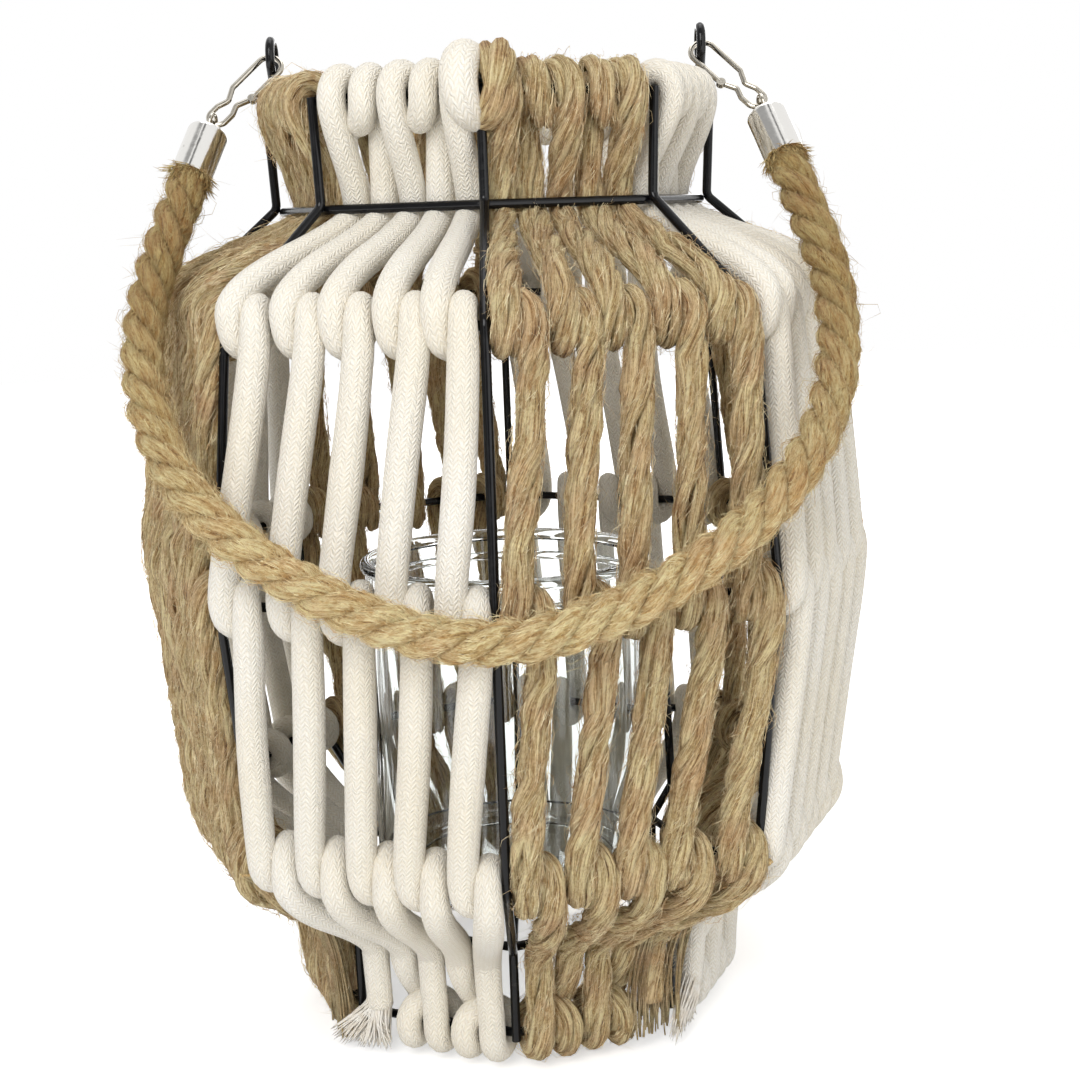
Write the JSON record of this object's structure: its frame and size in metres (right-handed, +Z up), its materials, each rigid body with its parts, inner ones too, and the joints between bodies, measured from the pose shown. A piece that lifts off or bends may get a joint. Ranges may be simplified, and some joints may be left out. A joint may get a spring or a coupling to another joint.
{
  "type": "hanging lantern",
  "caption": "Octagonal black wire lantern wound with cotton and jute cord, with a glass candle jar inside and a swinging rope handle on snap clips.",
  "frame": {"origin": "middle of the lantern on the surface that the lowest turns of cord rest on", "axes": "+Z up, +X to the right with the two ears on the X axis, the front corner of the frame points along -Y"},
  "size_m": [0.2652, 0.2795, 0.3582],
  "materials": {
    "black_wire": "glossy black lacquer",
    "cotton": "braided matt off-white cotton",
    "jute": "twisted matt brown jute with loose fibres",
    "rope": "three-strand golden tan jute rope",
    "chrome": "polished",
    "glass": "clear with a faint green-grey tint"
  },
  "bodies": {
    "lantern": {"base_ring": "black_wire", "foot_ring": "black_wire", "hip_ring": "black_wire", "waist_ring": "black_wire", "shoulder_ring": "black_wire", "neck_ring": "black_wire", "rim_ring": "black_wire", "upright_1": "black_wire", "upright_2": "black_wire", "upright_3": "black_wire", "upright_4": "black_wire", "upright_5": "black_wire", "upright_6": "black_wire", "upright_7": "black_wire", "upright_8": "black_wire", "ear_right": "black_wire", "ear_left": "black_wire", "jar_cross": "black_wire", "jar_prong_right": "black_wire", "jar_prong_left": "black_wire", "jute_wrap_1": "jute", "jute_wrap_2": "jute", "jute_wrap_3": "jute", "jute_wrap_4": "jute", "cotton_wrap_1": "cotton", "cotton_wrap_2": "cotton", "cotton_wrap_3": "cotton", "cotton_wrap_4": "cotton"},
    "jar": {"glass_jar": "glass"},
    "clip_left": {"snap_clip_left": "chrome"},
    "clip_right": {"snap_clip_right": "chrome"},
    "gate_left": {"clip_gate_left": "chrome"},
    "gate_right": {"clip_gate_right": "chrome"},
    "handle": {"rope_handle": "rope", "rope_cap_right": "chrome", "rope_cap_left": "chrome", "cap_eye_right": "chrome", "cap_eye_left": "chrome"}
  },
  "joints": [
    {"name": "jar_lift", "type": "slide", "parent": "lantern", "child": "jar", "axis": [0, 0, 1], "range_m": [0, 0.31]},
    {"name": "clip_left_swing", "type": "hinge", "parent": "lantern", "child": "clip_left", "pos_m": [-0.076, 0, 0.35109], "axis": [-1, 0, 0], "range_deg": [0, 270]},
    {"name": "clip_right_swing", "type": "hinge", "parent": "lantern", "child": "clip_right", "pos_m": [0.076, 0, 0.35109], "axis": [-1, 0, 0], "range_deg": [0, 270]},
    {"name": "handle_tilt", "type": "hinge", "parent": "clip_left", "child": "handle", "pos_m": [-0.09554, -0.01783, 0.32784], "axis": [-1, 0, 0], "range_deg": [0, 17]},
    {"name": "gate_right_swing", "type": "hinge", "parent": "clip_right", "child": "gate_right", "pos_m": [0.08213, -0.01155, 0.33603], "axis": [0, 0.7935, -0.6086], "range_deg": [0, 25], "stiffness_Nm_per_rad": 0.001, "springref_deg": -17.19},
    {"name": "gate_left_swing", "type": "hinge", "parent": "clip_left", "child": "gate_left", "pos_m": [-0.08213, -0.01155, 0.33603], "axis": [0, -0.7935, 0.6086], "range_deg": [0, 25], "stiffness_Nm_per_rad": 0.001, "springref_deg": -17.19}
  ],
  "couplings": [
    {"joint": "clip_right_swing", "follows": "clip_left_swing", "ratio": 1}
  ]
}
